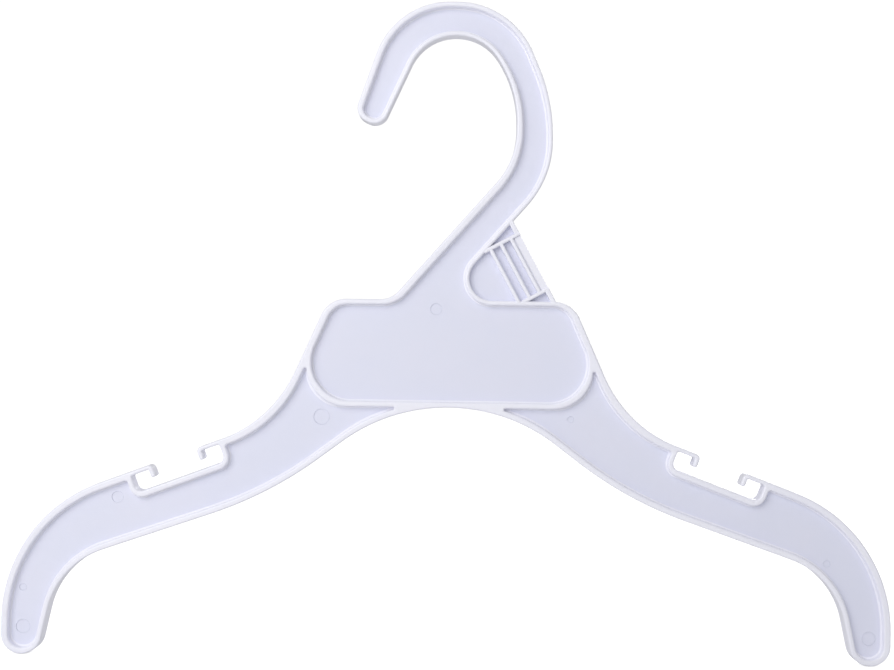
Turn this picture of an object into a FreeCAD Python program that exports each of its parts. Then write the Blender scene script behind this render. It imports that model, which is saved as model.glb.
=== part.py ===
"""Child's top hanger: a one-piece white plastic moulding with a fixed hook.

Millimetres. +Z is up, X runs along the arms, Y through the thickness, and the
front faces -Y. The origin is the centre of the rail that the hook hangs on.
A thin web lies in the plane Y = 0, and crowned rims stand on both its faces.
"""
import FreeCAD, Part
import os
from collections import namedtuple
from math import atan2, cos, degrees, hypot, pi, radians, sin, tan

V = FreeCAD.Vector

# ---- driving dimensions -------------------------------------------------
overall_width = 305.0       # arm tip to arm tip
rim_depth = 6.6             # rims, front crown to back crown
web_thickness = 1.4
rim_width = 2.4             # round the outside of the plaque and arms
under_rim = 2.1             # under the arms, round the throat and outside the hook's tip
hook_rim = 1.8              # over the top of the hook and left of the neck
slim_rim = 1.55             # inside the hook, down its back and beside the sizer bay
crown_radius = 0.7          # rounding along the top of every rim
foot_radius = 0.35          # rounding where a rim stands on the web
pocket_corner = 0.9         # smallest corner of a web pocket

rail_radius = 16.9          # inside of the hook, about the rail centre
hook_crown = 28.6           # rail centre to the top of the hook
hook_throat = 20.9          # rail centre to the vertical inside of the throat
hook_back = 33.3            # rail centre to the vertical back of the hook
tip_heading = 245.5         # degrees, the way the hook's tip points
tip_taper = 5.3             # degrees, the tip narrows by this
tip_width = 10.5
tip_reach = 24.5            # rail centre to the end of the tip, along the tip
tip_bend = 5.0
throat_bend = 27.7
throat_top_bend = 40.0
tip_outer_bend = 27.1
back_bend = 60.0
back_heading = -67.0        # degrees, the flatter stretch down from the hook's top
inner_headings = (124.0, 184.0)     # degrees, two sides that the hook's round touches
neck_bend = 32.7

neck_length = 73.8          # rail centre down to the top edge of the plaque
neck_slope = 48.8           # degrees
neck_width = 13.1
neck_foot = 20.4            # arm axis to where the neck's left edge lands
neck_foot_bend = 8.7
arm_axis = -0.9             # X of the plane that the two arms mirror about

plaque_height = 36.9        # top edge down to the crown of the arch
plaque_top = 83.6           # length of the top edge, corner to corner
plaque_slope = 65.9         # degrees, of the two sloping ends
plaque_bend = 9.6
plaque_rib = 1.8            # width of the rib round the lower corners
plaque_lower_bend = 13.5

shoulder_fall = 42.3        # top edge of the plaque down to the shoulder corner
shoulder_bend = 44.5
arm_slope = 20.6            # degrees, upper edge
arm_under_slope = 19.1      # degrees, lower edge
arm_end_inset = 15.8        # width over which the upper edge turns down
arm_end_drop = 52.5         # outer upper corner down to the arm tip
arm_end_turn = 27.5         # outer upper corner down to the vertical end
arm_end_bend = 50.0
arm_tip_width = 12.6
arm_tip_bend = 6.9
hollow_inset = 19.4         # arm tip back to the hollow under the arm end
hollow_bend = 28.5
under_corner = 61.2         # arm axis to the gentle corner under the arm
under_fall = 30.7           # crown of the arch down to that corner
under_bend = 134.0
arch_half = 20.3            # arm axis to the corner of the arch
arch_bend = 61.0

notch_place = 0.44          # where the notch sits between shoulder and arm end
notch_width = 32.0          # wall to wall, along the arm
notch_depth = 7.6
notch_wall = 1.9
notch_floor = 2.1
notch_bend = 2.4
catch_length = 8.0
catch_thickness = 1.5
catch_tip_width = 1.7
catch_tip_height = 4.5
catch_end_share = 0.49      # bend at a catch's end over its width, so nearly a half
catch_back_bend = 0.5
catch_root_bend = 0.8

bay_bend = 7.7              # curved inner end of the sizer bay
sizer_slope = 61.2          # degrees, outer edge of the sizer bay
sizer_foot = 36.1           # arm axis to the foot of the bay's outer edge
bar_width = 1.3
bar_places = (11.4, 7.4, 3.5)   # bar centres, measured in from the outer edge
cross_width = 1.3
upper_cross = 4.7           # bay corner to the upper cross rib, along the edge
cross_pitch = 21.4          # upper cross rib to the lower one
edge_rim_width = 1.7
bar_crown = 0.5
rail_depth = 4.2            # plate outside the last bar, front to back
rail_lip_depth = 5.0        # serrated lip along its outer edge
rail_lip_width = 2.4
serration_pitch = 1.1
serration_height = 0.3

fork_corner = 0.5           # rounding in the sharp end where two rims part
fork_angle = 30.0           # degrees between the two rims where they part
arch_fork_heading = 163.0   # degrees, of the arch rim at its fork
fork_out = 5.5              # corner of the arch out to the cut beside its fork
fork_dip = 0.9              # how far that cut runs below the crown of the arch

lip = 0.6                   # strip of web that belongs to a rim
plate_corner = 0.2          # smallest corner of a web plate
cut_over = 0.8              # how far a cut between two features runs past them
catch_cut = 1.0             # wall of the notch in to the cut at its catch's root
pin_recess = 0.15           # depth of the ejector-pin marks

# Ejector-pin marks: two distances from the place that is named, then the diameter.
tip_pin = (6.9, 9.0, 4.8)           # in and up from either arm tip
right_end_pin = (21.8, 34.6, 2.5)   # in and up from the right arm tip
left_end_pin = (6.7, 22.5, 2.5)     # in and up from the left arm tip
right_arch_pin = (41.8, 3.5, 2.2)   # out from the arm axis, down from the arch
left_arch_pin = (43.9, 3.8, 5.5)    # the same, on the left
notch_pin = (23.4, 6.7, 4.0)        # out along the left arm from its notch, and in
plaque_pin = (5.0, 3.1, 4.0)        # left of the arm axis, down from the plaque's top

# ---- outlines: straight sides joined by round bends ---------------------
# A side is a line through (x, z) with a heading in degrees. An outline runs
# clockwise, so the material is on its right. rim is the width of the rim along
# the side, and bend is the radius of the bend from this side into the next.
Side = namedtuple("Side", "name x z heading bend rim")


def side(name, x, z, heading, bend, rim=rim_width):
    return Side(name, x, z, heading, bend, rim)


def through(name, start, end, bend, rim=rim_width):
    """A side from one point towards another."""
    heading = degrees(atan2(end[1] - start[1], end[0] - start[0]))
    return Side(name, start[0], start[1], heading, bend, rim)


def ray(heading):
    return cos(radians(heading)), sin(radians(heading))


def round_side(name, centre, radius, heading, bend, rim=rim_width):
    """A side that touches a circle which lies on its left."""
    dx, dz = ray(heading)
    return side(name, centre[0] + radius * dz, centre[1] - radius * dx, heading, bend, rim)


def shifted(line, distance):
    """The same side moved to its right."""
    dx, dz = ray(line.heading)
    return line._replace(x=line.x + distance * dz, z=line.z - distance * dx)


def meet(a, b):
    """The corner where two sides cross."""
    ax, az = ray(a.heading)
    bx, bz = ray(b.heading)
    along = ((b.x - a.x) * bz - (b.z - a.z) * bx) / (ax * bz - az * bx)
    return a.x + along * ax, a.z + along * az


def turn(a, b):
    """Degrees turned from side a to side b, left positive."""
    return (b.heading - a.heading + 180.0) % 360.0 - 180.0


def fitted(sides):
    """The outline with each bend held to what its two sides have room for."""
    corners = [meet(line, sides[i + 1 - len(sides)]) for i, line in enumerate(sides)]
    needs = []
    for i, line in enumerate(sides):
        half = abs(turn(line, sides[i + 1 - len(sides)])) / 2
        needs.append(line.bend * tan(radians(half)))
    scales = [1.0] * len(sides)
    for i, corner in enumerate(corners):
        room = hypot(corner[0] - corners[i - 1][0], corner[1] - corners[i - 1][1])
        share = room / max(needs[i - 1] + needs[i], 1e-9)
        scales[i - 1] = min(scales[i - 1], share)
        scales[i] = min(scales[i], share)
    return [line._replace(bend=line.bend * scale) for line, scale in zip(sides, scales)]


def inset(chain, least=pocket_corner):
    """A run of sides moved in by their rims, its bends kept concentric."""
    moved = []
    for line, after in zip(chain, chain[1:]):
        rim = (line.rim + after.rim) / 2
        bend = line.bend + rim if turn(line, after) > 0 else line.bend - rim
        moved.append(shifted(line, line.rim)._replace(bend=max(bend, least)))
    return moved + [shifted(chain[-1], chain[-1].rim)]


def all_inset(sides, distance):
    """A closed outline moved in by the same distance everywhere."""
    loop = [line._replace(rim=distance) for line in fitted(sides)]
    return inset(loop + loop[:1], plate_corner)[:-1]


def mirrored(sides, last_bend):
    """The sides reflected in the arm axis, still running clockwise."""
    bends = [last_bend] + [line.bend for line in sides]
    result = []
    for line, bend in zip(reversed(sides), reversed(bends[:-1])):
        name = line.name.replace("right", "left")
        result.append(Side(name, 2 * arm_axis - line.x, line.z, -line.heading, bend, line.rim))
    return result


def between(sides, first, last):
    """The run of sides from one name to another."""
    names = [line.name for line in sides]
    return sides[names.index(first):names.index(last) + 1]


def bend_circle(sides, name):
    """Centre and radius of the bend that follows the named side."""
    names = [line.name for line in sides]
    line = sides[names.index(name)]
    after = sides[names.index(name) + 1]
    hand = 1 if turn(line, after) > 0 else -1
    centre = meet(shifted(line, -hand * line.bend), shifted(after, -hand * line.bend))
    return centre, line.bend


def outline_wire(sides, y):
    """A closed wire of straight edges and tangent arcs."""
    sides = fitted(sides)
    bends = []
    for i, line in enumerate(sides):
        after = sides[i + 1 - len(sides)]
        x, z = meet(line, after)
        angle = turn(line, after)
        reach = line.bend * tan(radians(abs(angle)) / 2)
        ax, az = ray(line.heading)
        bx, bz = ray(after.heading)
        mx, mz = ray(line.heading + angle / 2)
        hand = 1 if angle > 0 else -1
        start = V(x - reach * ax, y, z - reach * az)
        end = V(x + reach * bx, y, z + reach * bz)
        centre = start + V(-az, 0, ax) * (hand * line.bend)
        bends.append((start, centre - V(-mz, 0, mx) * (hand * line.bend), end))
    edges = []
    for i, (start, middle, end) in enumerate(bends):
        last = bends[i - 1][2]
        if last.distanceToPoint(start) > 1e-5:
            edges.append(Part.LineSegment(last, start).toShape())
        if start.distanceToPoint(end) > 1e-5:
            edges.append(Part.Arc(start, middle, end).toShape())
    return Part.Wire(edges)


def slab(sides, low, high):
    """The outline as a plate between two Y planes."""
    return Part.Face(outline_wire(sides, low)).extrude(V(0, high - low, 0))


# ---- places worked out from the dimensions ------------------------------
right_x = arm_axis + overall_width / 2
top_z = -neck_length
arch_z = top_z - plaque_height
corner_x = arm_axis + plaque_top / 2
shoulder_x = corner_x + shoulder_fall / tan(radians(plaque_slope))
shoulder_z = top_z - shoulder_fall
turn_x = right_x - arm_end_inset
turn_z = shoulder_z - (turn_x - shoulder_x) * tan(radians(arm_slope))
tip_z = turn_z - arm_end_drop
under_x = arm_axis + under_corner
under_z = arch_z - under_fall
hollow_x = right_x - hollow_inset
hollow_z = under_z - (hollow_x - under_x) * tan(radians(arm_under_slope))
notch_x = shoulder_x + notch_place * (turn_x - shoulder_x)
notch_z = shoulder_z - (notch_x - shoulder_x) * tan(radians(arm_slope))


# ---- the outline of the moulding ----------------------------------------
def hook_sides():
    """Up the inside of the neck and hook, round the tip and down the back."""
    rail = (0.0, 0.0)
    dx, dz = ray(tip_heading)
    across = rail_radius + tip_width
    tip_corner = (tip_reach * dx + across * dz, tip_reach * dz - across * dx)
    back_dx, back_dz = ray(back_heading)
    tip_out = tip_heading - 180 + tip_taper
    back = (-hook_crown * back_dz, hook_crown * back_dx)
    neck_left = side("neck left", arm_axis - neck_foot, top_z, neck_slope, throat_bend)
    neck_right = shifted(neck_left, neck_width)
    inner, roof = inner_headings
    return [
        neck_left,
        side("throat", hook_throat, 0, 90, throat_top_bend, under_rim),
        round_side("hook inner", rail, rail_radius, inner, rail_radius, slim_rim),
        round_side("hook roof", rail, rail_radius, roof, rail_radius, slim_rim),
        round_side("tip inner", rail, rail_radius, tip_heading, tip_bend, slim_rim),
        side("tip end", *tip_corner, tip_heading - 90, tip_bend, hook_rim),
        side("tip outer", *tip_corner, tip_out, tip_outer_bend, under_rim),
        side("hook top", 0, hook_crown, 0, hook_crown, hook_rim),
        side("hook shoulder", *back, back_heading, back_bend, hook_rim),
        side("hook back", hook_back, 0, -90, neck_bend, slim_rim),
        Side("neck right", neck_right.x, neck_right.z, neck_slope - 180, bay_bend, slim_rim),
    ]


def in_notch(along, up):
    """A point given along the arm from the notch's middle, and out from its edge."""
    dx, dz = ray(-arm_slope)
    return notch_x + along * dx - up * dz, notch_z + along * dz + up * dx


def notch_side(name, along, up, turned, bend, rim=0.0):
    x, z = in_notch(along, up)
    return side(name, x, z, turned - arm_slope, bend, rim)


def notch_outline():
    """The notch, with the hooked catch that reaches in from each of its walls."""
    half = notch_width / 2
    tip_out = half - catch_length
    tip_in = tip_out + catch_tip_width
    tip_end = catch_end_share * catch_tip_width
    low = -catch_thickness
    return [
        notch_side("right inner tip", -tip_out, 0, -90, tip_end),
        notch_side("right inner end", 0, -catch_tip_height, 180, tip_end),
        notch_side("right inner back", -tip_in, 0, 90, catch_back_bend),
        notch_side("right inner catch", 0, low, 180, catch_root_bend),
        notch_side("right inner wall", -half, 0, -90, notch_bend, notch_wall),
        notch_side("right notch floor", 0, -notch_depth, 0, notch_bend, notch_floor),
        notch_side("right outer wall", half, 0, 90, catch_root_bend, notch_wall),
        notch_side("right outer catch", 0, low, 180, catch_back_bend),
        notch_side("right outer back", tip_in, 0, -90, tip_end),
        notch_side("right outer end", 0, -catch_tip_height, 180, tip_end),
        notch_side("right outer tip", tip_out, 0, 90, catch_tip_width),
    ]


def notch_ribs():
    """The web side of the notch's walls and floor."""
    half = notch_width / 2 + notch_wall
    corner = notch_bend + notch_floor
    return [
        notch_side("right inner rib", -half, 0, -90, corner),
        notch_side("right floor rib", 0, -notch_depth - notch_floor, 0, corner),
        notch_side("right outer rib", half, 0, 90, pocket_corner),
    ]


def arm_top(name, bend):
    return side(name, shoulder_x, shoulder_z, -arm_slope, bend)


def arm_end():
    """Round the end of the arm and back along its underside."""
    turned = (right_x, turn_z - arm_end_turn)
    inner = (right_x - arm_tip_width, tip_z)
    arch_corner = (arm_axis + arch_half, arch_z)
    return [
        through("right arm bow", (turn_x, turn_z), turned, arm_end_bend),
        side("right arm side", right_x, tip_z, -90, arm_tip_bend),
        side("right arm end", right_x, tip_z, 180, arm_tip_bend, under_rim),
        through("right arm hollow", inner, (hollow_x, hollow_z), hollow_bend, hook_rim),
        side("right arm under", under_x, under_z, 180 - arm_under_slope, under_bend, under_rim),
        through("right arch", (under_x, under_z), arch_corner, arch_bend, under_rim),
    ]


def right_sides():
    return [
        side("right plaque end", corner_x, top_z, -plaque_slope, shoulder_bend),
        arm_top("right shoulder", catch_tip_width),
        *notch_outline(),
        arm_top("right arm top", arm_end_bend),
        *arm_end(),
    ]


outline = fitted([
    side("left plaque top", 0, top_z, 0, neck_foot_bend, hook_rim),
    *hook_sides(),
    side("right plaque top", 0, top_z, 0, plaque_bend, slim_rim),
    *right_sides(),
    side("arch", 0, arch_z, 180, arch_bend, under_rim),
    *mirrored(right_sides(), plaque_bend),
])


# ---- the web pockets ----------------------------------------------------
def main_pocket():
    """The channel of the hook and neck, which opens into the plaque."""
    rimmed = between(outline, "left plaque top", "right plaque end")
    rimmed[-1] = rimmed[-1]._replace(bend=plaque_lower_bend)
    floor = side("plaque floor", 0, arch_z + plaque_rib, 180, plaque_lower_bend, 0)
    left_rim = (outline[-1].rim + outline[0].rim) / 2
    left_end = shifted(outline[-1], outline[-1].rim)._replace(bend=plaque_bend - left_rim)
    return fitted([*inset(rimmed), floor, left_end])


def arm_pocket(plaque):
    """The web of the right arm, out from the two forks where its rims part."""
    arch, radius = bend_circle(outline, "right arch")
    fork_heading = arch_fork_heading
    fork_foot = round_side("fork foot", arch, radius, fork_heading, fork_corner, under_rim)
    corner, radius = bend_circle(plaque, "right plaque end")
    rib_radius = radius + plaque_rib
    rib_foot = side("rib foot", 0, arch_z, 0, rib_radius, 0)
    rib_heading = 180 - plaque_slope - fork_angle
    rib_end = round_side("rib end", corner, rib_radius, rib_heading, fork_corner, 0)
    plaque_end = between(outline, "right plaque end", "right plaque end")
    shoulder = arm_top("right shoulder", pocket_corner)
    arm_run = between(outline, "right arm top", "right arch")
    run = [*plaque_end, shoulder, *notch_ribs(), *arm_run, fork_foot]
    return fitted([*inset(run), rib_foot, rib_end])


# ---- the moulding as one solid ------------------------------------------
def edges_at(solid, level):
    """The edges that lie in the two planes Y = level and Y = -level."""
    found = []
    for edge in solid.Edges:
        box = edge.BoundBox
        flat = box.YLength < 1e-6
        if flat and abs(abs(box.YMin) - level) < 1e-6:
            found.append(edge)
    return found


def moulding(pockets):
    """The plate with its pockets milled from both faces and its edges rounded."""
    crown = rim_depth / 2
    skin = web_thickness / 2
    body = slab(outline, -crown, crown)
    for pocket in pockets:
        body = body.cut(slab(pocket, skin, crown + 1))
        body = body.cut(slab(pocket, -crown - 1, -skin))
    body = body.makeFillet(crown_radius, edges_at(body, crown))
    return body.makeFillet(foot_radius, edges_at(body, skin))


# ---- cuts that part the moulding into its named features ----------------
def place_on(sides, name, share):
    """A point and heading: 0 to 1 along a side's straight, 1 to 2 round its bend."""
    names = [line.name for line in sides]
    i = names.index(name)
    before, line, after = sides[i - 1], sides[i], sides[i + 1 - len(sides)]
    dx, dz = ray(line.heading)
    x0, z0 = meet(before, line)
    x1, z1 = meet(line, after)
    skip = before.bend * tan(radians(abs(turn(before, line))) / 2)
    angle = turn(line, after)
    stop = hypot(x1 - x0, z1 - z0) - line.bend * tan(radians(abs(angle)) / 2)
    if share <= 1:
        along = skip + share * (stop - skip)
        return x0 + along * dx, z0 + along * dz, line.heading
    heading = line.heading + (share - 1) * angle
    hand = 1 if angle > 0 else -1
    hx, hz = ray(heading)
    centre_x = x0 + stop * dx - hand * line.bend * dz
    centre_z = z0 + stop * dz + hand * line.bend * dx
    return centre_x + hand * line.bend * hz, centre_z - hand * line.bend * hx, heading


def inside(sides, name, share, depth):
    """A point that far inside the outline."""
    x, z, heading = place_on(sides, name, share)
    dx, dz = ray(heading)
    return x + depth * dz, z - depth * dx


def across(sides, name, share, left=0.0):
    """The two ends of a cut straight across a rim and its strip of web."""
    names = [line.name for line in sides]
    i = names.index(name)
    rim = max(sides[i].rim, sides[i + 1 - len(sides)].rim)
    start = inside(sides, name, share, -left - cut_over)
    return start, inside(sides, name, share, rim + lip + cut_over)


def reflected(point):
    return 2 * arm_axis - point[0], point[1]


def blade(ends):
    (x0, z0), (x1, z1) = ends
    y = rim_depth
    corners = [V(x0, -y, z0), V(x1, -y, z1), V(x1, y, z1), V(x0, y, z0), V(x0, -y, z0)]
    return Part.Face(Part.makePolygon(corners))


def parted(solid, cuts, named_points):
    """The solid split at the cuts, with each piece found by a point inside it."""
    pieces = solid.generalFuse([blade(ends) for ends in cuts])[0].Solids
    nodes = {}
    for name, (x, z) in named_points.items():
        held = [piece for piece in pieces if piece.isInside(V(x, 0, z), 1e-4, True)]
        nodes[name] = held[0]
    return nodes


def rim_nodes(rims):
    """The rims, parted where a toolmaker would name one feature from the next."""
    fork = arm_axis + arch_half + fork_out
    rib_top = arch_z + plaque_rib + lip + cut_over
    rib_cut = ((fork, arch_z - fork_dip), (fork, rib_top))
    catch_end = notch_width / 2 - catch_cut
    catch_low = -catch_thickness - cut_over
    right_cuts = [
        across(outline, "right plaque end", 1.3),
        across(right_arm, "rib foot", 1.5, plaque_rib + lip),
        rib_cut,
        (in_notch(-catch_end, cut_over), in_notch(-catch_end, catch_low)),
        (in_notch(catch_end, cut_over), in_notch(catch_end, catch_low)),
        across(outline, "right inner wall", 0.7),
        across(outline, "right outer wall", 0.3),
        across(outline, "right arm bow", 1.5),
        across(outline, "right arm hollow", 0.5),
        across(outline, "right arch", 0.5),
    ]
    hook_cuts = [
        across(outline, "left plaque top", 0.6),
        across(outline, "neck left", 0.85),
        across(outline, "tip inner", 0.6),
        across(outline, "tip outer", 0.4),
        across(outline, "hook back", 0.5),
        across(outline, "neck right", 0.2),
        across(outline, "right plaque top", 1.4),
    ]
    left_cuts = [(reflected(a), reflected(b)) for a, b in right_cuts]
    half = slim_rim / 2
    right_points = {
        "right_plaque_rim": inside(outline, "right plaque end", 0.5, half),
        "right_plaque_rib": inside(right_arm, "rib foot", 1.1, -plaque_rib / 2),
        "right_shoulder_rim": inside(outline, "right plaque end", 1.6, half),
        "right_inner_catch": inside(outline, "right shoulder", 0.95, catch_thickness / 2),
        "right_strap_seat": inside(outline, "right notch floor", 0.5, notch_floor / 2),
        "right_outer_catch": inside(outline, "right outer tip", 1.95, catch_thickness / 2),
        "right_arm_top_rim": inside(outline, "right arm top", 1.5, half),
        "right_arm_end_rim": inside(outline, "right arm side", 0.5, half),
        "right_arm_under_rim": inside(outline, "right arm under", 0.5, half),
    }
    points = {
        "neck_left_rim": inside(outline, "neck left", 0.5, half),
        "hook_inner_rim": inside(outline, "hook inner", 1.5, half),
        "hook_tip_rim": inside(outline, "tip end", 0.5, half),
        "hook_outer_rim": inside(outline, "hook top", 1.5, half),
        "neck_right_rim": inside(outline, "hook back", 1.5, half),
        "sizer_bay_rim": inside(outline, "neck right", 1.5, half),
        "arch_rim": (arm_axis, arch_z + plaque_rib / 2),
        **right_points,
    }
    for name, point in right_points.items():
        points[name.replace("right", "left")] = reflected(point)
    return parted(rims, hook_cuts + right_cuts + left_cuts, points)


# ---- webs ---------------------------------------------------------------
def web_plate(pocket):
    skin = web_thickness / 2
    return slab(all_inset(pocket, lip), -skin, skin)


def with_pin_marks(plate, marks):
    """Shallow round marks that the ejector pins leave in the front of a web."""
    for x, z, diameter in marks:
        start = V(x, -web_thickness / 2 - 1, z)
        pin = Part.makeCylinder(diameter / 2, 1 + pin_recess, start, V(0, 1, 0))
        plate = plate.cut(pin)
    return plate


def web_nodes():
    """The hook's channel in three stretches, and the web of each arm."""
    right_marks = [
        (right_x - tip_pin[0], tip_z + tip_pin[1], tip_pin[2]),
        (right_x - right_end_pin[0], tip_z + right_end_pin[1], right_end_pin[2]),
        (arm_axis + right_arch_pin[0], arch_z - right_arch_pin[1], right_arch_pin[2]),
    ]
    left_x = right_x - overall_width
    left_marks = [
        (left_x + tip_pin[0], tip_z + tip_pin[1], tip_pin[2]),
        (left_x + left_end_pin[0], tip_z + left_end_pin[1], left_end_pin[2]),
        (*reflected(in_notch(notch_pin[0], -notch_pin[1])), notch_pin[2]),
        (arm_axis - left_arch_pin[0], arch_z - left_arch_pin[1], left_arch_pin[2]),
    ]
    plaque_mark = (arm_axis - plaque_pin[0], top_z - plaque_pin[1], plaque_pin[2])
    channel = with_pin_marks(web_plate(plaque), [plaque_mark])
    neck_cut = (
        inside(outline, "neck left", 0.85, 0),
        inside(outline, "neck left", 0.85, neck_width + cut_over),
    )
    plaque_cut = ((arm_axis - plaque_top / 2, top_z), (arm_axis + plaque_top / 2, top_z))
    middle = neck_width / 2
    points = {
        "hook_web": inside(outline, "hook top", 1.1, middle),
        "neck_web": inside(outline, "neck left", 0.5, middle),
        "plaque_web": (arm_axis, (top_z + arch_z) / 2),
    }
    nodes = parted(channel, [neck_cut, plaque_cut], points)
    nodes["right_arm_web"] = with_pin_marks(web_plate(right_arm), right_marks)
    nodes["left_arm_web"] = with_pin_marks(web_plate(left_arm), left_marks)
    return nodes


# ---- the sizer bay: a small cage that a size marker clips over ----------
def bay_line(name, along, inward, turned):
    """A side in the bay, measured from its top corner along its outer edge."""
    dx, dz = ray(-sizer_slope)
    x = bay_corner[0] + along * dx + inward * dz
    z = bay_corner[1] + along * dz - inward * dx
    return side(name, x, z, turned - sizer_slope, 0, 0)


def member(start, end, width):
    """A straight crowned rib between two points, as deep as the rims."""
    length = hypot(end[0] - start[0], end[1] - start[1])
    box = Part.makeBox(length, rim_depth, width, V(0, -rim_depth / 2, -width / 2))
    long_edges = [edge for edge in box.Edges if edge.BoundBox.XLength > length / 2]
    rib = box.makeFillet(bar_crown, long_edges)
    angle = degrees(atan2(end[1] - start[1], end[0] - start[0]))
    rib.rotate(V(0, 0, 0), V(0, 1, 0), -angle)
    rib.translate(V(start[0], 0, start[1]))
    return rib


def beyond(line, other, extra):
    """The point where a side meets another, and a little further on."""
    x, z = meet(line, other)
    dx, dz = ray(line.heading)
    return x + extra * dx, z + extra * dz


def biggest(shape):
    return max(shape.Solids, key=lambda solid: solid.Volume)


def serrated_rail(first, last, width):
    """The outer rail: a plate with a toothed lip along its edge."""
    teeth = int((last - first) / serration_pitch)
    pitch = (last - first) / teeth
    spots = []
    for i in range(teeth):
        spots.append((first + i * pitch, serration_height))
        spots.append((first + (i + 0.5) * pitch, 0.0))
    spots.append((last, serration_height))
    solids = []
    for inner, half in ((width, rail_depth / 2), (rail_lip_width, rail_lip_depth / 2)):
        loop = [(first, inner)] + spots + [(last, inner), (first, inner)]
        corners = []
        for along, inward in loop:
            line = bay_line("spot", along, inward, 0)
            corners.append(V(line.x, -half, line.z))
        face = Part.Face(Part.makePolygon(corners))
        solids.append(face.extrude(V(0, 2 * half, 0)))
    return solids[0].fuse(solids[1]).removeSplitter()


def sizer_nodes(body):
    """Two cross ribs, three bars, the rims of the outer edge, its rail and its web."""
    floor = side("bay floor", 0, top_z, 180, bay_bend, 0)
    neck = between(outline, "neck right", "neck right")[0]
    root = slim_rim / 2
    lower = upper_cross + cross_pitch
    half = cross_width / 2
    ribs = {}
    line = bay_line("upper cross", upper_cross, 0, -90)
    ribs["sizer_upper_rib"] = member((line.x, line.z), beyond(line, neck, root), cross_width).cut(body)
    line = bay_line("lower cross", lower, 0, -90)
    ribs["sizer_lower_rib"] = member((line.x, line.z), beyond(line, floor, root), cross_width).cut(body)
    crosses = [body, ribs["sizer_upper_rib"], ribs["sizer_lower_rib"]]
    bars = []
    for inward in bar_places:
        top = bay_line("bar top", upper_cross, inward, 0)
        foot = bay_line("bar foot", lower, inward, 0)
        end = (foot.x, foot.z)
        if foot.z < top_z:
            end = beyond(top, floor, root)
        bars.append(biggest(member((top.x, top.z), end, bar_width).cut(crosses)))
    for name, bar in zip(("inner", "middle", "outer"), bars):
        ribs["sizer_" + name + "_bar"] = bar
    edge = edge_rim_width / 2
    line = bay_line("upper edge", upper_cross, edge, 180)
    ribs["sizer_upper_edge"] = member((line.x, line.z), beyond(line, neck, root), edge_rim_width)
    line = bay_line("lower edge", lower, edge, 0)
    ribs["sizer_lower_edge"] = member((line.x, line.z), beyond(line, floor, root), edge_rim_width)
    for name in ("sizer_upper_edge", "sizer_lower_edge"):
        ribs[name] = biggest(ribs[name].cut(crosses))
    rail_width = bar_places[-1] - bar_width / 2
    ribs["sizer_rail"] = serrated_rail(upper_cross + half, lower - half, rail_width)
    skin = web_thickness / 2
    outer = bay_line("bay edge", 0, edge, 0)
    web = slab([floor, neck._replace(heading=neck_slope, bend=0), outer], -skin, skin)
    ribs["sizer_web"] = web.cut([body] + list(ribs.values()))
    return ribs


# ---- building and writing -----------------------------------------------
plaque = main_pocket()
right_arm = arm_pocket(plaque)
left_arm = mirrored(right_arm, right_arm[-1].bend)
neck_edge = between(outline, "neck right", "neck right")[0]
bay_corner = meet(neck_edge, side("bay edge", arm_axis + sizer_foot, top_z, -sizer_slope, 0))

body = moulding([plaque, right_arm, left_arm])
plates = [web_plate(pocket) for pocket in (plaque, right_arm, left_arm)]
nodes = {}
nodes.update(rim_nodes(body.cut(plates)))
nodes.update(web_nodes())
nodes.update(sizer_nodes(body))

os.makedirs("parts", exist_ok=True)
for name, shape in nodes.items():
    shape.exportStep("parts/" + name + ".step")
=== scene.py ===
from math import cos, pi, radians, sin

import bmesh
import bpy
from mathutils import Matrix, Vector


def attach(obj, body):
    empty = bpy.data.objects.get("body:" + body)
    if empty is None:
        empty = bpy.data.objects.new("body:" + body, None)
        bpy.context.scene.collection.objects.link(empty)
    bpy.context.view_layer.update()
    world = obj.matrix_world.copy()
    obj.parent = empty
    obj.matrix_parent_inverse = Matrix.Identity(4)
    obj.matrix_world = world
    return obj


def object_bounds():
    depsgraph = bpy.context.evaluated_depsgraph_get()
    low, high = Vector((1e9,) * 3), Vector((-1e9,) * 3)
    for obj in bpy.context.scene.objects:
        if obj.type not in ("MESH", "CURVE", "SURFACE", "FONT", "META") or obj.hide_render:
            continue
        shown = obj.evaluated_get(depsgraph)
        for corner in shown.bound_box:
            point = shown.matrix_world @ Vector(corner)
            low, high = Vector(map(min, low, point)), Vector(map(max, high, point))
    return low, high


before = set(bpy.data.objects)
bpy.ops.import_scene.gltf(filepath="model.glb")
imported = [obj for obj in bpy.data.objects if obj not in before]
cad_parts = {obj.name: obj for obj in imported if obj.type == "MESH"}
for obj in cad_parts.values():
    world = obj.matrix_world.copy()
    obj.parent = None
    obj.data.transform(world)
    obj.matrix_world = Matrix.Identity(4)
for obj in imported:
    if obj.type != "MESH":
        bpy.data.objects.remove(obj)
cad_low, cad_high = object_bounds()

# A one-piece moulded hanger: white plastic with a faint lilac cast. Metres, +Z up,
# the front faces -Y, and the origin is the centre of the rail that it hangs on.

# ---- finishes: one plastic, painted lighter on the rims and darker on the webs as painted light and shade ---
# Rims and webs are the same plastic. The rims' colours carry painted light, and the webs' colours
# carry painted shade for the web lying in its recess.
RIM_PAINTED_LIGHT_COLOUR = (0.905, 0.905, 0.985)
RIM_PAINTED_LIGHT_COOL_COLOUR = (0.885, 0.89, 0.985)
RIM_ROUGHNESS = 0.30
RIM_GRAIN = 0.12            # strength of the mould grain
RIM_WEAR = 0.5
WEB_PAINTED_SHADE_COLOUR = (0.775, 0.785, 0.91)
WEB_PAINTED_SHADE_COOL_COLOUR = (0.755, 0.775, 0.91)
WEB_ROUGHNESS = 0.46
WEB_GRAIN = 0.45
WEB_WEAR = 0.35
PLASTIC_IOR = 1.49
FLOW_STRENGTH = 0.6
RUB_DULLS = 0.16            # roughness that full rubbing, a scratch or a drift adds
SCRATCH_DULLS = 0.10
FLOW_DULLS = 0.03
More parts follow.
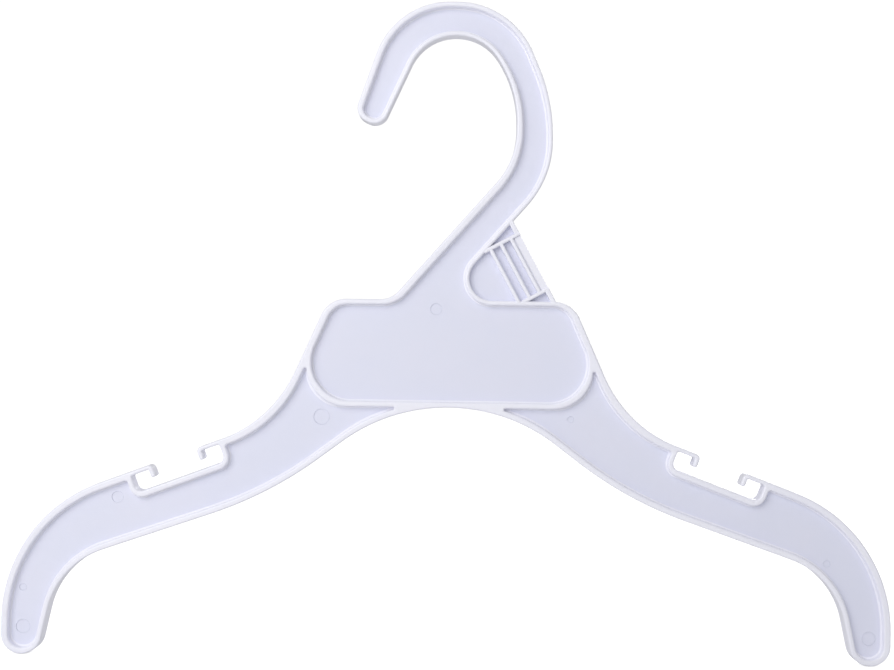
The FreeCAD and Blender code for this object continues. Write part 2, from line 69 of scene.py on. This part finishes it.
GRAIN_DEPTH = 0.00002
SCRATCH_DEPTH = -0.00001
SCRATCH_STRENGTH = 0.25
RIDGE_DEPTH = 0.00005

# ---- sizes of the small moulding marks -------------------------------------
WEB_SURFACE = 0.0007        # mid plane to the face of a web
MARK_FLOOR = 0.00055        # mid plane to the floor of an ejector-pin mark
LEVEL_SLACK = 1e-5          # how far a face may be off that floor's level
BURR_SIZE = 0.0001          # height, and half the width, of the burr round a mark
BURR_STEPS = 96
BURR_SECTION = (            # out from the mark's edge and back from the web, in burr sizes
    (-1.0, 0.6),
    (-0.95, -0.1),
    (-0.6, -0.75),
    (0.0, -1.0),
    (0.6, -0.75),
    (0.95, -0.1),
    (1.0, 0.6),
)
CREASE_ANGLE = radians(35.0)
SAME_POINT = 1e-6           # corners nearer than this are one

# ---- stage, light and camera -------------------------------------------------
FLOOR_SIDE = 40.0
FLOOR_DROP = 0.0002         # below the hanger's lowest point
FLOOR_GLOW = 0.68           # keeps the floor white to the horizon
WORLD_STRENGTH = 0.44
BACKDROP_STRENGTH = 1.05
MIDDLE = (0.0, 0.0, -0.09)
KEY_PLACE = (-0.42, -0.75, 0.24)
KEY_SIZE = (0.7, 0.7)
KEY_WATTS = 4.7
BACK_PLACE = (0.6, 1.1, 0.5)
BACK_SIZE = (0.9, 0.7)
BACK_WATTS = 6.0
AIM = (-0.00201, -0.0026, -0.08575)
DISTANCE = 0.45
SEEN_WIDTH = 0.30648        # across the view, at the distance of AIM
ROLL = radians(0.87)
SENSOR_WIDTH = 36.0         # millimetres, as Blender gives it


# ---- shader groups ---------------------------------------------------------
def new_group(name, inputs, outputs):
    """An empty shader group with named sockets, and its two end nodes."""
    tree = bpy.data.node_groups.new(name, "ShaderNodeTree")
    for label, kind, value in inputs:
        socket = tree.interface.new_socket(name=label, in_out="INPUT", socket_type=kind)
        if value is not None:
            socket.default_value = value
    for label, kind in outputs:
        tree.interface.new_socket(name=label, in_out="OUTPUT", socket_type=kind)
    return tree, tree.nodes.new("NodeGroupInput"), tree.nodes.new("NodeGroupOutput")


def math_node(tree, operation, a, b=0.0, clamp=False):
    node = tree.nodes.new("ShaderNodeMath")
    node.operation = operation
    node.use_clamp = clamp
    for socket, value in zip(node.inputs, (a, b)):
        if isinstance(value, bpy.types.NodeSocket):
            tree.links.new(value, socket)
        else:
            socket.default_value = value
    return node.outputs[0]


def noise_node(tree, vector, scale, detail, roughness):
    node = tree.nodes.new("ShaderNodeTexNoise")
    tree.links.new(vector, node.inputs["Vector"])
    if isinstance(scale, bpy.types.NodeSocket):
        tree.links.new(scale, node.inputs["Scale"])
    else:
        node.inputs["Scale"].default_value = scale
    node.inputs["Detail"].default_value = detail
    node.inputs["Roughness"].default_value = roughness
    return node.outputs["Fac"]


def ramp_node(tree, value, low, high):
    """A smooth step from 0 at low to 1 at high."""
    node = tree.nodes.new("ShaderNodeMapRange")
    node.interpolation_type = "SMOOTHSTEP"
    tree.links.new(value, node.inputs["Value"])
    node.inputs["From Min"].default_value = low
    node.inputs["From Max"].default_value = high
    return node.outputs["Result"]


def mould_grain_group():
    """The fine even texture that a spark-eroded mould leaves on a web."""
    tree, start, end = new_group(
        "Mould grain",
        [
            ("Position", "NodeSocketVector", None),
            ("Grains per metre", "NodeSocketFloat", 5200.0),
        ],
        [("Height", "NodeSocketFloat"), ("Pits", "NodeSocketFloat")],
    )
    position = start.outputs["Position"]
    density = start.outputs["Grains per metre"]
    coarse = noise_node(tree, position, scale=density, detail=3.0, roughness=0.55)
    cells = tree.nodes.new("ShaderNodeTexVoronoi")
    tree.links.new(position, cells.inputs["Vector"])
    tree.links.new(density, cells.inputs["Scale"])
    pits = ramp_node(tree, cells.outputs["Distance"], low=0.1, high=0.6)
    coarse_share = math_node(tree, "MULTIPLY", coarse, 0.6)
    pits_share = math_node(tree, "MULTIPLY", pits, 0.4)
    height = math_node(tree, "ADD", coarse_share, pits_share)
    tree.links.new(height, end.inputs["Height"])
    tree.links.new(pits, end.inputs["Pits"])
    return tree


def flow_marks_group():
    """Faint drifts of tone where the plastic flowed and cooled unevenly."""
    tree, start, end = new_group(
        "Flow marks",
        [
            ("Position", "NodeSocketVector", None),
            ("Colour", "NodeSocketColor", (0.8, 0.8, 0.9, 1.0)),
            ("Cool Colour", "NodeSocketColor", (0.75, 0.78, 0.9, 1.0)),
            ("Strength", "NodeSocketFloat", 0.3),
        ],
        [("Colour", "NodeSocketColor"), ("Mask", "NodeSocketFloat")],
    )
    position = start.outputs["Position"]
    drift = noise_node(tree, position, scale=26.0, detail=3.0, roughness=0.6)
    streak = noise_node(tree, position, scale=160.0, detail=2.0, roughness=0.5)
    drift_share = math_node(tree, "MULTIPLY", drift, 0.75)
    streak_share = math_node(tree, "MULTIPLY", streak, 0.25)
    mixed = math_node(tree, "ADD", drift_share, streak_share)
    mask = ramp_node(tree, mixed, low=0.35, high=0.65)
    mix = tree.nodes.new("ShaderNodeMix")
    mix.data_type = "RGBA"
    share = math_node(tree, "MULTIPLY", mask, start.outputs["Strength"])
    tree.links.new(share, mix.inputs["Factor"])
    tree.links.new(start.outputs["Colour"], mix.inputs["A"])
    tree.links.new(start.outputs["Cool Colour"], mix.inputs["B"])
    tree.links.new(mix.outputs["Result"], end.inputs["Colour"])
    tree.links.new(mask, end.inputs["Mask"])
    return tree


def shop_wear_group():
    """Fine rubs and scratches from sliding along rails and into bins."""
    tree, start, end = new_group(
        "Shop wear",
        [("Position", "NodeSocketVector", None), ("Amount", "NodeSocketFloat", 0.5)],
        [("Rubs", "NodeSocketFloat"), ("Scratches", "NodeSocketFloat")],
    )
    position = start.outputs["Position"]
    patches = noise_node(tree, position, scale=90.0, detail=5.0, roughness=0.65)
    rubs = ramp_node(tree, patches, low=0.48, high=0.72)
    stretched = tree.nodes.new("ShaderNodeMapping")
    stretched.inputs["Scale"].default_value = (1.0, 1.0, 14.0)
    stretched.inputs["Rotation"].default_value = (0.0, 0.6, 0.0)
    tree.links.new(position, stretched.inputs["Vector"])
    lines = noise_node(tree, stretched.outputs["Vector"], scale=420.0, detail=2.0, roughness=0.4)
    scratches = ramp_node(tree, lines, low=0.66, high=0.74)
    for name, mask in (("Rubs", rubs), ("Scratches", scratches)):
        tree.links.new(math_node(tree, "MULTIPLY", mask, start.outputs["Amount"]), end.inputs[name])
    return tree


def parting_line_group():
    """A hair-fine ridge at mid depth on the side walls, where the mould closes."""
    tree, start, end = new_group(
        "Parting line",
        [
            ("Position", "NodeSocketVector", None),
            ("Half Width", "NodeSocketFloat", 0.00011),
        ],
        [("Height", "NodeSocketFloat")],
    )
    split = tree.nodes.new("ShaderNodeSeparateXYZ")
    tree.links.new(start.outputs["Position"], split.inputs["Vector"])
    depth = math_node(tree, "ABSOLUTE", split.outputs["Y"])
    share = math_node(tree, "DIVIDE", depth, start.outputs["Half Width"])
    ridge = math_node(tree, "SUBTRACT", 1.0, share, clamp=True)
    tree.links.new(ridge, end.inputs["Height"])
    return tree


mould_grain = mould_grain_group()
flow_marks = flow_marks_group()
shop_wear = shop_wear_group()
parting_line = parting_line_group()


# ---- materials -------------------------------------------------------------
def placed(tree, group, position):
    """One of the shared groups in a material, fed with the place on the hanger."""
    node = tree.nodes.new("ShaderNodeGroup")
    node.node_tree = group
    tree.links.new(position, node.inputs["Position"])
    return node


def bump_on(tree, height, strength, distance, normal=None):
    node = tree.nodes.new("ShaderNodeBump")
    node.inputs["Strength"].default_value = strength
    node.inputs["Distance"].default_value = distance
    tree.links.new(height, node.inputs["Height"])
    if normal is not None:
        tree.links.new(normal, node.inputs["Normal"])
    return node.outputs["Normal"]


def moulded_plastic(name, colour, cool, roughness, grain_strength, wear, has_ridge):
    """White moulded plastic with its mould grain, flow marks, parting line and wear."""
    material = bpy.data.materials.new(name)
    material.use_nodes = True
    material.diffuse_color = (*colour, 1.0)
    tree = material.node_tree
    shader = tree.nodes["Principled BSDF"]
    shader.inputs["IOR"].default_value = PLASTIC_IOR
    shader.inputs["Subsurface Weight"].default_value = 0.0
    position = tree.nodes.new("ShaderNodeTexCoord").outputs["Object"]
    flow = placed(tree, flow_marks, position)
    flow.inputs["Colour"].default_value = (*colour, 1.0)
    flow.inputs["Cool Colour"].default_value = (*cool, 1.0)
    flow.inputs["Strength"].default_value = FLOW_STRENGTH
    worn = placed(tree, shop_wear, position)
    worn.inputs["Amount"].default_value = wear
    grain = placed(tree, mould_grain, position)
    # The base colour holds painted light on the rims, and painted shade on the webs and pin burrs.
    tree.links.new(flow.outputs["Colour"], shader.inputs["Base Color"])
    rubbed = math_node(tree, "MULTIPLY", worn.outputs["Rubs"], RUB_DULLS)
    rough = math_node(tree, "ADD", rubbed, roughness)
    scratched = math_node(tree, "MULTIPLY", worn.outputs["Scratches"], SCRATCH_DULLS)
    rough = math_node(tree, "ADD", scratched, rough)
    drifted = math_node(tree, "MULTIPLY", flow.outputs["Mask"], FLOW_DULLS)
    rough = math_node(tree, "ADD", drifted, rough, clamp=True)
    tree.links.new(rough, shader.inputs["Roughness"])
    normal = bump_on(tree, grain.outputs["Height"], grain_strength, GRAIN_DEPTH)
    scratches = worn.outputs["Scratches"]
    normal = bump_on(tree, scratches, SCRATCH_STRENGTH, SCRATCH_DEPTH, normal)
    if has_ridge:
        closed = placed(tree, parting_line, position)
        normal = bump_on(tree, closed.outputs["Height"], 1.0, RIDGE_DEPTH, normal)
    tree.links.new(normal, shader.inputs["Normal"])
    return material


# Two copies of one plastic: the rim copy is painted lighter as painted light, and the web copy is
# painted darker as painted shade.
rim_plastic_painted_light = moulded_plastic(
    "polished rim plastic, painted light", RIM_PAINTED_LIGHT_COLOUR, RIM_PAINTED_LIGHT_COOL_COLOUR, RIM_ROUGHNESS, RIM_GRAIN, RIM_WEAR, True
)
web_plastic_painted_shade = moulded_plastic(
    "satin web plastic, painted shade", WEB_PAINTED_SHADE_COLOUR, WEB_PAINTED_SHADE_COOL_COLOUR, WEB_ROUGHNESS, WEB_GRAIN, WEB_WEAR, False
)


# ---- the moulding's own features ---------------------------------------------
def crown_shading():
    """Smooths each feature across its rounded edges, and keeps its real corners crisp."""
    tree = bpy.data.node_groups.new("Crown shading", "GeometryNodeTree")
    tree.interface.new_socket(name="Geometry", in_out="INPUT", socket_type="NodeSocketGeometry")
    tree.interface.new_socket(name="Geometry", in_out="OUTPUT", socket_type="NodeSocketGeometry")
    start = tree.nodes.new("NodeGroupInput")
    end = tree.nodes.new("NodeGroupOutput")
    weld = tree.nodes.new("GeometryNodeMergeByDistance")
    weld.inputs["Distance"].default_value = SAME_POINT
    plain = tree.nodes.new("GeometryNodeRemoveAttribute")
    plain.inputs["Name"].default_value = "custom_normal"
    smooth = tree.nodes.new("GeometryNodeSetShadeSmooth")
    crease = tree.nodes.new("GeometryNodeSetShadeSmooth")
    crease.domain = "EDGE"
    crease.inputs["Shade Smooth"].default_value = False
    angle = tree.nodes.new("GeometryNodeInputMeshEdgeAngle")
    sharp = tree.nodes.new("FunctionNodeCompare")
    sharp.inputs["B"].default_value = CREASE_ANGLE
    tree.links.new(angle.outputs["Unsigned Angle"], sharp.inputs["A"])
    tree.links.new(sharp.outputs["Result"], crease.inputs["Selection"])
    tree.links.new(start.outputs["Geometry"], weld.inputs["Geometry"])
    tree.links.new(weld.outputs["Geometry"], plain.inputs["Geometry"])
    tree.links.new(plain.outputs["Geometry"], smooth.inputs["Geometry"])
    tree.links.new(smooth.outputs["Geometry"], crease.inputs["Geometry"])
    tree.links.new(crease.outputs["Geometry"], end.inputs["Geometry"])
    return tree


crowns = crown_shading()
web_nodes = [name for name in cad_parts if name.endswith("_web")]
for name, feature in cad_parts.items():
    # Rims take the painted-light copy of the plastic, and webs take the painted-shade copy.
    plastic_with_painted_tone = web_plastic_painted_shade if name in web_nodes else rim_plastic_painted_light
    feature.data.materials.clear()
    feature.data.materials.append(plastic_with_painted_tone)
    shading = feature.modifiers.new("Crown shading", "NODES")
    shading.node_group = crowns
    weighted = feature.modifiers.new("Even normals", "WEIGHTED_NORMAL")
    weighted.keep_sharp = True


# ---- burrs round the ejector-pin marks ---------------------------------------
def mark_floors(feature):
    """Centre and radius of each pin mark that is sunk into the front of a web."""
    shape = bmesh.new()
    shape.from_mesh(feature.data)
    bmesh.ops.remove_doubles(shape, verts=shape.verts, dist=SAME_POINT)
    left = set()
    for face in shape.faces:
        if all(abs(corner.co.y + MARK_FLOOR) < LEVEL_SLACK for corner in face.verts):
            left.add(face)
    floors = []
    while left:
        found = {left.pop()}
        to_visit = list(found)
        while to_visit:
            borders = to_visit.pop().edges
            near = {face for border in borders for face in border.link_faces} & left
            left -= near
            found |= near
            to_visit.extend(near)
        xs = [corner.co.x for face in found for corner in face.verts]
        zs = [corner.co.z for face in found for corner in face.verts]
        centre = Vector(((min(xs) + max(xs)) / 2, -WEB_SURFACE, (min(zs) + max(zs)) / 2))
        floors.append((centre, (max(xs) - min(xs)) / 2))
    shape.free()
    return sorted(floors, key=lambda floor: floor[0].x)


def burr_ring(name, centre, radius):
    """A low rounded ring that stands round a pin mark."""
    shape = bmesh.new()
    rings = []
    for i in range(BURR_STEPS):
        angle = 2 * pi * i / BURR_STEPS
        points = []
        for out, back in BURR_SECTION:
            reach = radius + BURR_SIZE * out
            spot = (reach * cos(angle), BURR_SIZE * back, reach * sin(angle))
            points.append(shape.verts.new(centre + Vector(spot)))
        rings.append(points)
    for i, ring in enumerate(rings):
        after = rings[i + 1 - BURR_STEPS]
        for a, b, c, d in zip(ring, ring[1:], after[1:], after):
            shape.faces.new((a, b, c, d)).smooth = True
    bmesh.ops.recalc_face_normals(shape, faces=shape.faces)
    mesh = bpy.data.meshes.new(name)
    shape.to_mesh(mesh)
    shape.free()
    # The burr takes the web copy of the plastic, with its painted shade.
    mesh.materials.append(web_plastic_painted_shade)
    burr = bpy.data.objects.new(name, mesh)
    bpy.context.scene.collection.objects.link(burr)
    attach(burr, "root")


for name in web_nodes:
    for number, (centre, radius) in enumerate(mark_floors(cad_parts[name]), start=1):
        burr_ring(f"{name}_pin_burr_{number}", centre, radius)


# ---- the stage ---------------------------------------------------------------
def plain_floor():
    """A pale floor that stays white as far as the camera can see."""
    mesh = bpy.data.meshes.new("floor")
    shape = bmesh.new()
    bmesh.ops.create_grid(shape, x_segments=1, y_segments=1, size=FLOOR_SIDE / 2)
    shape.to_mesh(mesh)
    shape.free()
    floor = bpy.data.objects.new("floor", mesh)
    floor.location = (0.0, 0.0, cad_low.z - FLOOR_DROP)
    bpy.context.scene.collection.objects.link(floor)
    paint = bpy.data.materials.new("pale floor")
    paint.use_nodes = True
    shader = paint.node_tree.nodes["Principled BSDF"]
    shader.inputs["Base Color"].default_value = (0.8, 0.8, 0.81, 1.0)
    shader.inputs["Roughness"].default_value = 0.9
    shader.inputs["Emission Color"].default_value = (1.0, 1.0, 1.0, 1.0)
    path = paint.node_tree.nodes.new("ShaderNodeLightPath")
    lift = paint.node_tree.nodes.new("ShaderNodeMapRange")
    lift.inputs["To Min"].default_value = 0.0
    lift.inputs["To Max"].default_value = FLOOR_GLOW
    paint.node_tree.links.new(path.outputs["Is Camera Ray"], lift.inputs["Value"])
    paint.node_tree.links.new(lift.outputs["Result"], shader.inputs["Emission Strength"])
    mesh.materials.append(paint)


def studio_world(strength, backdrop):
    """Even white light all round, and a bright white seen behind the hanger."""
    world = bpy.data.worlds.new("studio")
    bpy.context.scene.world = world
    world.use_nodes = True
    tree = world.node_tree
    shader = tree.nodes["Background"]
    path = tree.nodes.new("ShaderNodeLightPath")
    level = tree.nodes.new("ShaderNodeMapRange")
    tree.links.new(path.outputs["Is Camera Ray"], level.inputs["Value"])
    level.inputs["To Min"].default_value = strength
    level.inputs["To Max"].default_value = backdrop
    tree.links.new(level.outputs["Result"], shader.inputs["Strength"])
    shader.inputs["Color"].default_value = (1.0, 1.0, 1.0, 1.0)


def softbox(name, place, size, watts):
    """A soft square of light turned to the middle of the hanger."""
    lamp = bpy.data.lights.new(name, "AREA")
    lamp.shape = "RECTANGLE"
    lamp.size, lamp.size_y = size
    lamp.energy = watts
    box = bpy.data.objects.new(name, lamp)
    box.location = place
    box.rotation_mode = "QUATERNION"
    box.rotation_quaternion = (Vector(MIDDLE) - Vector(place)).to_track_quat("-Z", "Y")
    box.visible_camera = False
    bpy.context.scene.collection.objects.link(box)


plain_floor()
studio_world(WORLD_STRENGTH, BACKDROP_STRENGTH)
softbox("key softbox", KEY_PLACE, KEY_SIZE, KEY_WATTS)
softbox("back softbox", BACK_PLACE, BACK_SIZE, BACK_WATTS)

lens = bpy.data.cameras.new("camera")
lens.sensor_width = SENSOR_WIDTH
lens.lens = lens.sensor_width * DISTANCE / SEEN_WIDTH
lens.dof.use_dof = False
lens.clip_start = 0.01
lens.clip_end = 100.0
camera = bpy.data.objects.new("camera", lens)
camera.location = (AIM[0], AIM[1] - DISTANCE, AIM[2])
camera.rotation_euler = (pi / 2, -ROLL, 0.0)
bpy.context.scene.collection.objects.link(camera)
bpy.context.scene.camera = camera
bpy.context.scene.view_settings.view_transform = "Standard"
